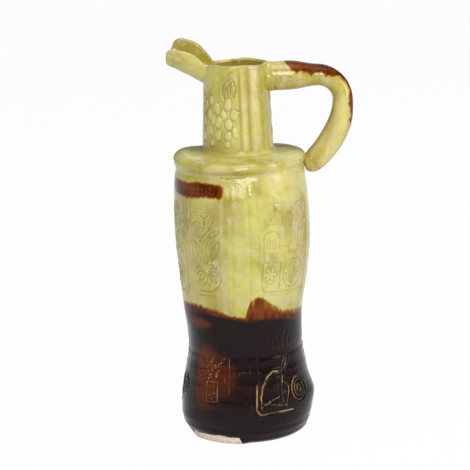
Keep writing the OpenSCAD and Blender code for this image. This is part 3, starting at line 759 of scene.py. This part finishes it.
girth = QUARTER + side_height(q_along, near_side)
bend = aside * girth
arc = np.minimum(bend, QUARTER) / PIPE_R
sign = np.sign(q_across)
sheet_y = sign * PIPE_R * np.sin(arc)
sheet_z = -PIPE_R * np.cos(arc) + np.maximum(bend - QUARTER, 0)
start_r = np.sqrt((RIM_R - NECK_T + 0.6 * MM) ** 2 - np.minimum(np.abs(sheet_y), 18 * MM) ** 2)
start_x = (start_r - TROUGH_AXIS[0] + sheet_z * math.sin(TROUGH_SLOPE)) / math.cos(TROUGH_SLOPE)
sheet_x = start_x + (lip_at - start_x) * q_along
from_end = np.minimum(q_along, 1 - q_along) * (lip_at - start_x)
from_edge = np.minimum((1 - aside) * girth, from_end)
thick = (SHEET * np.sqrt(1 - (1 - np.clip(from_edge / SHEET, 0, 1)) ** 2))[..., None]
facing = np.stack([0 * sheet_x, sign * np.sin(arc), -np.cos(arc)], -1)
sheet = np.stack([sheet_x, sheet_y, sheet_z], -1)
finger = MM * 0.3 * np.sin(sheet_x / (6 * MM) + 2 * sign)[..., None]


def trough_to_jug(points):
    """Turns points from the trough's own frame, x out along it and y to the near side, into the jug's."""
    c, s = math.cos(TROUGH_SLOPE), math.sin(TROUGH_SLOPE)
    out = TROUGH_AXIS[0] + points[..., 0] * c - points[..., 2] * s
    up = TROUGH_AXIS[1] + points[..., 0] * s + points[..., 2] * c
    ct, st = math.cos(math.pi - TROUGH_TURN), math.sin(math.pi - TROUGH_TURN)
    return np.stack([out * ct - points[..., 1] * st, out * st + points[..., 1] * ct, up], -1)


spout_outer = trough_to_jug(sheet + facing * (thick + finger * (thick > SHEET * 0.98)))
spout_inner = trough_to_jug(sheet - facing * thick)[:, ::-1]
to_neck = 1 - q_along + 0 * q_across
skin(
    "clay_spout", "spout", np.concatenate([spout_outer, spout_inner], 1),
    pool=np.hstack([0.25 * to_neck**3, 0.12 + 0.5 * to_neck**4]),
    brown=NO_BROWN,
)

# %% [markdown]
# ## The handle
# A thick rolled coil: straight out from the neck, round a tight bend and back in one long arc. A circle
# is carried along that centre line. Its radius follows the frame, with low waves along and round it for
# finger pressure, and it tapers on its outer side towards the foot. The brown glaze was poured over its
# back: a table gives how many degrees it reaches down on either side, at distances from the root.

# %% Pull the handle
ROOT_X, HANDLE_Z, REACH = 29.5 * MM, 290 * MM, 84 * MM
BEND_R, ARC_R, FOOT_SWING = 20 * MM, 65.3 * MM, math.radians(51.3)
BROWN_REACH = np.array([
    (5, -40), (10, 30), (15, 66), (26, 78), (44, 80), (52, 44), (58, 26), (65, 56), (72, 48), (84, 30),
    (98, 6), (104, -40),
])
run_length = REACH - BEND_R - ROOT_X
bend_length = BEND_R * math.pi / 2
arc_length = ARC_R * FOOT_SWING
handle_length = run_length + bend_length + arc_length


def handle_line(s):
    """Place and downward turn of the centre line at a distance from the root: a straight, a bend and a long
    arc."""
    bend_turn = np.clip((s - run_length) / BEND_R, 0, math.pi / 2)
    long_turn = np.maximum(s - run_length - bend_length, 0) / ARC_R
    x = ROOT_X + np.minimum(s, run_length) + BEND_R * np.sin(bend_turn)
    x = x - ARC_R * (1 - np.cos(long_turn))
    z = HANDLE_Z - BEND_R * (1 - np.cos(bend_turn)) - ARC_R * np.sin(long_turn)
    return x, z, bend_turn + long_turn


along = np.linspace(-3 * MM, handle_length + 3 * MM, 170)[:, None]
around = np.linspace(0, 2 * math.pi, 72, endpoint=False)[None]
share = along / handle_length
s_mm = along / MM
upper_r, lower_r = 11 - 2.5 * ease((share - 0.1) / 0.18), 8.5 + 2 * ease((share - 0.45) / 0.4)
thickness = np.where(share < 0.28, upper_r, lower_r)
pressure = 0.3 * np.sin(s_mm / 9) * np.cos(around - 0.6) + 0.35 * np.sin(s_mm / 17 + 1)
pressure = pressure + 0.25 * np.cos(2 * around + s_mm / 22)
tip = np.sqrt(1 - np.clip((along - handle_length + 5 * MM) / (8.2 * MM), 0, 1) ** 2)
taper = 3.6 * ease((share - 0.62) / 0.38) * (0.5 + 0.5 * np.cos(around))
handle_radius = (thickness + pressure - taper) * MM * tip
line_x, line_z, line_turn = handle_line(along)
lean = np.arctan2(np.sin(around), np.cos(around))
handle_grid = np.stack([
    line_x + handle_radius * np.cos(around) * np.sin(line_turn),
    -handle_radius * np.sin(around) + MM * 0.8 * np.sin(s_mm / 24),
    line_z + handle_radius * np.cos(around) * np.cos(line_turn),
], -1)
brown_half = np.interp(s_mm, *BROWN_REACH.T) + 5 * np.sin(s_mm / 2.1) + 4 * np.sin(s_mm / 0.9)
handle_brown = (np.radians(brown_half) - np.abs(lean)) * 7
handle_brown = np.maximum(handle_brown, 1.5 - np.hypot(s_mm + 0.5, 4 * (lean - 2.2)))
streaky = 0.3 * np.sin(4 * lean + s_mm / 18) * ease((s_mm - 40) / 30)
# On the handle's underside the pool mark is painted shade; the bell near the foot and the streaks are glaze
# pooling.
handle_pool = 0.75 * ease((np.abs(lean) - 2.3) / 0.6) + 0.3 * hump(s_mm, 124, 9) + streaky
skin(
    "clay_handle", "handle", handle_grid,
    brown=np.clip(handle_brown, NO_BROWN, 2.6), pool=np.clip(handle_pool, 0, 1),
)

# %% [markdown]
# ## Clay pressed round the handle's ends
# At the root a ring of soft clay was thumbed onto the neck, and at the foot the coil ends in a blunt
# lump. Both are profiles turned round the handle's own line, with a few waves.

# %% Press the two wads
spin = np.linspace(0, 2 * math.pi, 80, endpoint=False)[:, None]
wad_x = np.array([22.6, 22.6, 23.4, 25.0, 26.6, 28.0, 29.2, 30.4, 31.8, 33.2, 33.4])
wad_r = np.array([0.3, 8.0, 11.6, 11.9, 11.9, 11.6, 11.3, 11.1, 10.9, 10.4, 0.3])
fine = np.linspace(0, len(wad_x) - 1, 61)
smooth_x = np.interp(fine, np.arange(len(wad_x)), wad_x) * MM
smooth_r = np.interp(fine, np.arange(len(wad_r)), wad_r)
wad_wave = 1 + 0.03 * np.sin(3 * spin + 1) + 0.025 * np.sin(5 * spin)
ring_r = smooth_r * wad_wave * MM
upper_wad = np.stack([
    smooth_x + 0 * spin, -ring_r * np.sin(spin), HANDLE_Z + ring_r * np.cos(spin),
], -1)
skin("clay_upper_wad", "handle_upper_wad", upper_wad, ring=True, pool=0.15, brown=NO_BROWN)

foot_x, foot_z, foot_turn = (float(v) for v in handle_line(np.array(handle_length)))
pole = np.array([0.002, 0.01])
lump = np.concatenate([pole, np.linspace(0.03, math.pi - 0.03, 60), math.pi - pole[::-1]])
lump_r = 10.4 * (1 + 0.03 * np.sin(3 * spin) + 0.03 * np.sin(2 * spin + 2 * lump))
forward = (lump_r * -np.cos(lump) * np.where(lump > math.pi / 2, 0.82, 0.9) - 1.0) * MM
sideways = lump_r * np.sin(lump) * (0.86 - 0.14 * np.cos(spin)) * MM
lower_wad = np.stack([
    foot_x + forward * math.cos(foot_turn) + sideways * np.cos(spin) * math.sin(foot_turn),
    -sideways * np.sin(spin),
    foot_z - forward * math.sin(foot_turn) + sideways * np.cos(spin) * math.cos(foot_turn),
], -1)
lump_pool = 0.35 + 0.5 * hump(lump, 1.5, 0.3)
skin("clay_lower_wad", "handle_lower_wad", lower_wad, ring=True, pool=lump_pool, brown=NO_BROWN)

# %% [markdown]
# ## Shader maths in plain Python
# A glaze is a long sum of masks and colours. Wiring Math nodes by hand hides that sum, so a socket is
# wrapped in a small class: adding or multiplying two of them adds the Math node. One method makes every
# other node.

# %% Sockets that can be added and multiplied
class Wire:
    """One output of a shader node. Arithmetic on it adds Math nodes to the same finish."""

    def __init__(self, finish, socket):
        self.finish, self.socket = finish, socket

    def math(self, operation, *values):
        """One Math node with these values or wires."""
        return self.finish.node("ShaderNodeMath", {"operation": operation}, dict(enumerate(values)))

    def __add__(self, other):
        return self.math("ADD", self, other)

    def __sub__(self, other):
        return self.math("SUBTRACT", self, other)

    def __rsub__(self, other):
        return self.math("SUBTRACT", other, self)

    def __mul__(self, other):
        return self.math("MULTIPLY", self, other)

    __radd__, __rmul__ = __add__, __mul__

    def ramp(self, low, high):
        """0 below low, 1 above high, and a smooth step between."""
        settings = {"interpolation_type": "SMOOTHSTEP"}
        sockets = {"Value": self, "From Min": low, "From Max": high}
        return self.finish.node("ShaderNodeMapRange", settings, sockets)


class Finish:
    """A material under construction."""

    def __init__(self, name):
        self.material = bpy.data.materials.new(name)
        self.material.use_nodes = True
        self.tree = self.material.node_tree
        self.tree.nodes.clear()

    def node(self, kind, settings=None, sockets=None, output=0):
        """Adds a node: first its settings, then the values or links of its sockets. Gives one output."""
        made = self.tree.nodes.new(kind)
        for key, value in (settings or {}).items():
            setattr(made, key, value)
        for key, value in (sockets or {}).items():
            if isinstance(value, Wire):
                self.tree.links.new(value.socket, made.inputs[key])
            else:
                made.inputs[key].default_value = value
        return Wire(self, made.outputs[output]) if made.outputs else None

    def mark(self, name):
        """A number stored on the points of the piece."""
        return self.node("ShaderNodeAttribute", {"attribute_name": name}, output="Fac")

    def noise(self, scale, detail=3.0, stretch=(1, 1, 1), rough=0.55):
        """Cloudy noise: scale is how many clouds go into a metre, stretch multiplies each axis."""
        place = self.node("ShaderNodeTexCoord", output="Object")
        place = self.node("ShaderNodeMapping", None, {"Vector": place, "Scale": stretch})
        sockets = {"Vector": place, "Scale": scale, "Detail": detail, "Roughness": rough}
        return self.node("ShaderNodeTexNoise", None, sockets)

    def mix(self, share, a, b):
        """A colour between a and b."""
        return self.node("ShaderNodeMix", {"data_type": "RGBA"}, {0: share, 6: a, 7: b}, output=2)


def tint(red, green, blue):
    """A colour as it looks on a screen, 0 to 255, turned into linear light."""
    screen = np.array([red, green, blue]) / 255
    linear = np.where(screen <= 0.04045, screen / 12.92, ((screen + 0.055) / 1.055) ** 2.4)
    return (*linear.tolist(), 1.0)


print("shader pens ready")

# %% [markdown]
# ## The glazes
# The straw-yellow glaze gets a painted cream highlight on the stamps' ridges and painted olive shade in
# their grooves. The brown
# one was dipped from below: it is almost black where thick, red-brown where thin, and golden on sharp edges,
# with an amber fringe that runs in fine upright streaks. A painted texture could show this, but masks made
# from the stored numbers follow the stamps exactly.

# %% Mix the glazes
STRAW, PALE_STRAW = tint(166, 152, 66), tint(204, 196, 112)
LIME, SAND = tint(188, 188, 74), tint(206, 190, 132)
LILAC, HONEY = tint(202, 187, 150), tint(186, 166, 58)
# The pooled amber is glaze pooling, and on the handle's underside it is painted shade.
CREAM, POOLED_AND_SHADE = tint(214, 208, 150), tint(160, 128, 46)
# The ridge colour is a painted highlight on raised relief, and the groove colour is painted shade in the
# stamps' lines.
RIDGE_HIGHLIGHT, GROOVE_SHADE = tint(216, 208, 146), tint(132, 120, 56)
BLACK, RED, BRUSHED, GOLD = tint(25, 12, 12), tint(96, 38, 16), tint(60, 36, 32), tint(178, 144, 90)
AMBER, RUST, PALE_RUST = tint(156, 106, 14), tint(66, 18, 1), tint(122, 58, 3)
CLAY, PALE_CLAY = tint(224, 206, 184), tint(242, 228, 208)


def glaze(name, inside_brown=0.0):
    """Builds the shared glaze. The marks brown, thin, relief, bare and the mark of glaze pools and painted
    shade steer it, and inside_brown shifts brown."""
    f = Finish(name)
    relief, pool, thin, bare = f.mark("relief"), f.mark("pool"), f.mark("thin"), f.mark("bare")
    clouds, drift, grain = f.noise(26, 5), f.noise(75, 4, (1, 1, 0.07)), f.noise(380, 3)
    streaks = f.noise(230, 4, (1, 1, 0.2), 0.65)
    brush = f.noise(110, 4, (0.1, 0.1, 1), 0.6)
    blots = f.noise(95, 2)
    brown = f.mark("brown") + inside_brown + (streaks - 0.5) * 5.0 + (clouds - 0.5) * 2.0

    yellow = f.mix(clouds.ramp(0.38, 0.62), STRAW, PALE_STRAW)
    yellow = f.mix(drift.ramp(0.5, 0.66) * 0.6, yellow, LIME)
    yellow = f.mix(drift.ramp(0.48, 0.34) * 0.55, yellow, SAND)
    yellow = f.mix(blots.ramp(0.52, 0.72) * 0.6, yellow, LILAC)
    yellow = f.mix(blots.ramp(0.45, 0.28) * 0.5, yellow, HONEY)
    yellow = f.mix(grain.ramp(0.5, 0.75) * 0.2, yellow, CREAM)
    # Amber where the glaze pools, and painted shade on the handle's underside.
    yellow = f.mix(pool * (0.4 + clouds), yellow, POOLED_AND_SHADE)
    # Painted highlight on raised relief and painted shade in the grooves of the stamps.
    yellow = f.mix(relief.ramp(0.05, 0.45) * 0.4, yellow, RIDGE_HIGHLIGHT)
    yellow = f.mix(relief.ramp(-0.06, -0.6) * 0.33, yellow, GROOVE_SHADE)

    red = thin * 1.15 + (clouds - 0.5) * 1.8 * thin + (brush - 0.5) * 0.9
    dark = f.mix(red.ramp(0.2, 0.95), BLACK, RED)
    dark = f.mix(brush.ramp(0.5, 0.7) * 0.4, dark, BRUSHED)
    edge = relief.ramp(-0.38, -0.62) * (0.2 + 0.65 * blots.ramp(0.42, 0.6))
    dark = f.mix(edge, dark, GOLD)

    rust = f.mix((streaks * 0.5 + brush * 0.5).ramp(0.42, 0.58), RUST, PALE_RUST)
    colour = f.mix(brown.ramp(-1.4, 0.2), yellow, AMBER)
    colour = f.mix(brown.ramp(-0.2, 1.2), colour, rust)
    colour = f.mix(brown.ramp(1.9, 4.8), colour, dark)
    wiped = (bare + (streaks - 0.5) * 2.4).ramp(BARE_EDGE - 0.3, BARE_EDGE + 0.3)
    clay = f.mix(grain.ramp(0.35, 0.65), CLAY, PALE_CLAY)
    colour = f.mix(wiped, colour, clay)

    rough = 0.14 + 0.12 * clouds.ramp(0.4, 0.7) + 0.06 * grain + wiped * 0.6
    ripple = f.noise(95, 3) * 0.6 + grain * 0.14 + (brush * 0.9 + grain * 0.25) * brown.ramp(1, 6)
    bump = f.node("ShaderNodeBump", None, {"Strength": 0.4, "Distance": 0.0014, "Height": ripple})
    shared = {"Base Color": colour, "Roughness": rough, "Normal": bump}
    pale = f.node("ShaderNodeBsdfPrincipled", None, {**shared, "Specular IOR Level": 0.5})
    shared["Roughness"] = rough * 0.8
    deep = f.node("ShaderNodeBsdfPrincipled", None, {**shared, "Specular IOR Level": 0.16})
    is_brown = brown.ramp(-0.8, 0.8) * (1 - wiped)
    shader = f.node("ShaderNodeMixShader", None, {0: is_brown, 1: pale, 2: deep})
    f.node("ShaderNodeOutputMaterial", None, {"Surface": shader})
    return f.material


jug_glaze = glaze("jug_glaze")
inner_brown_glaze = glaze("inner_brown_glaze", ALL_BROWN)
for node, piece in pieces.items():
    piece.data.materials.append(jug_glaze)
for node, finish in (("base_coil", inner_brown_glaze), ("shoulder_coil", jug_glaze)):
    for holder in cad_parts[node].material_slots:
        holder.material = finish
print(f"{len(pieces)} pieces glazed, {len(jug_glaze.node_tree.nodes)} nodes in the glaze")

# %% [markdown]
# ## Table, light and camera
# The jug stands on a plain white table. The key softbox hangs above the camera, one stands at the right,
# one hangs overhead and a weak one stands behind. The table shows white to the camera and in reflections,
# mixed with a little of its lit surface so that the jug's shadow stays.

# %% Table and light
floor_mesh = bpy.data.meshes.new("table")
floor_mesh.from_pydata([(-9, -9, 0), (9, -9, 0), (9, 9, 0), (-9, 9, 0)], [], [(0, 1, 2, 3)])
floor = bpy.data.objects.new("table", floor_mesh)
bpy.context.scene.collection.objects.link(floor)
table = Finish("table_white")
RAYS = ("Is Camera Ray", "Is Glossy Ray", "Is Transmission Ray")
WHITE_SHARE = 0.97
camera_ray, glossy_ray, through_ray = (table.node("ShaderNodeLightPath", output=key) for key in RAYS)
seen = camera_ray.math("MAXIMUM", camera_ray, glossy_ray)
seen = seen.math("MAXIMUM", seen, through_ray)
lit = table.node("ShaderNodeBsdfDiffuse", None, {"Color": (0.9, 0.9, 0.9, 1)})
white = table.node("ShaderNodeEmission", None, {"Color": (1, 1, 1, 1), "Strength": 1.0})
table_look = table.node("ShaderNodeMixShader", None, {0: seen * WHITE_SHARE, 1: lit, 2: white})
table.node("ShaderNodeOutputMaterial", None, {"Surface": table_look})
floor_mesh.materials.append(table.material)


def softbox(name, place, aim, size, power):
    """A rectangular lamp at a place, turned to face another."""
    lamp = bpy.data.lights.new(name, "AREA")
    lamp.shape, lamp.size, lamp.size_y, lamp.energy = "RECTANGLE", size[0], size[1], power
    stand = bpy.data.objects.new(name, lamp)
    back = np.array(place, float) - np.array(aim, float)
    back /= np.linalg.norm(back)
    side = np.cross((0, 0, 1), back)
    side /= np.linalg.norm(side)
    axes = np.stack([side, np.cross(back, side), back], 1)
    stand.matrix_world = Matrix([[*row, p] for row, p in zip(axes, place)] + [[0, 0, 0, 1]])
    bpy.context.scene.collection.objects.link(stand)


softbox("key", (0.05, -1.5, 0.95), (0, 0, 0.18), (0.8, 0.6), 16.5)
softbox("right", (1.5, -0.7, 0.7), (0, 0, 0.15), (0.5, 0.9), 9)
softbox("back", (0.3, 1.6, 1.3), (0, 0, 0.15), (1.0, 0.8), 2.5)
softbox("top", (0.1, -0.25, 1.7), (0, 0, 0.2), (1.0, 0.8), 11)
world = bpy.data.worlds.new("studio")
world.use_nodes = True
room = world.node_tree.nodes["Background"]
room.inputs["Color"].default_value = (1, 1, 1, 1)
room.inputs["Strength"].default_value = 0.15
bpy.context.scene.world = world
bpy.context.scene.view_settings.view_transform = "Standard"

# %% [markdown]
# The camera stands 1.4 m in front, a little above the jug, with a long lens. It is rolled by two degrees,
# because the picture leans.

# %% Camera
lens_data = bpy.data.cameras.new("camera")
FOCAL_PIXELS, PICTURE_PIXELS, SENSOR = 1775, 470, 36
lens_data.lens, lens_data.sensor_width = SENSOR * FOCAL_PIXELS / PICTURE_PIXELS, SENSOR
camera = bpy.data.objects.new("camera", lens_data)
bpy.context.scene.collection.objects.link(camera)
pitch, yaw, roll = math.radians(12.8), math.radians(0.22), math.radians(2.1)
turned = Matrix.Rotation(yaw, 4, "Z") @ Matrix.Rotation(math.pi / 2 - pitch, 4, "X")
turned = turned @ Matrix.Rotation(-roll, 4, "Z")
camera.matrix_world = Matrix.Translation((0, -1.4, 0.48)) @ turned
bpy.context.scene.camera = camera
print("camera at", [round(v, 3) for v in camera.matrix_world.translation])

# %% [markdown]
# ## Close the frame

# %% Finish
bpy.context.view_layer.update()
